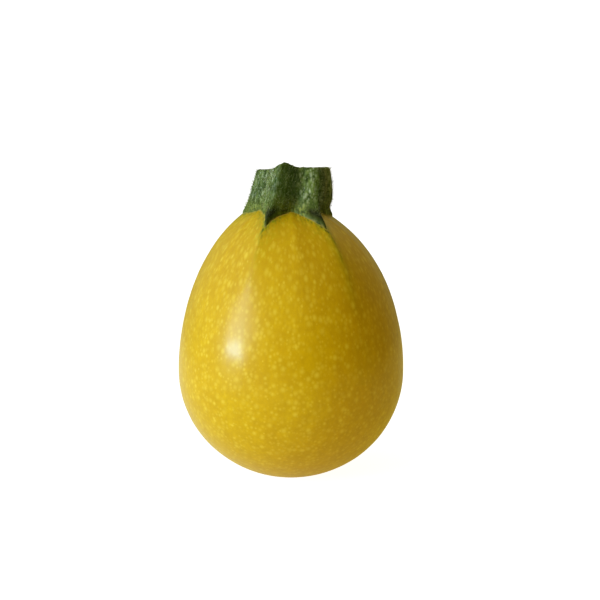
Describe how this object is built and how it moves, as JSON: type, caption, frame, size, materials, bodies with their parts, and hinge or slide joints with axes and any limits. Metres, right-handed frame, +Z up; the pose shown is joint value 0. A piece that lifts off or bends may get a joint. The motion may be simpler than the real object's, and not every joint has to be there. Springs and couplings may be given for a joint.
{
  "type": "round zucchini",
  "caption": "Round yellow zucchini standing on its blossom end, with a ribbed shoulder and the fluted green stub of its cut stem.",
  "frame": {"origin": "middle of the small flat spot that the fruit rests on", "axes": "+Z up through the stem, -Y towards the front of the picture's view, +X to its right"},
  "size_m": [0.0841, 0.084, 0.1163],
  "materials": {
    "skin": "glossy yellow plant skin with fine pale specks",
    "stem": "matt green plant stem with fine ridges and a pale cut"
  },
  "bodies": {
    "root": {"fruit": "skin", "stem": "stem"}
  },
  "joints": []
}
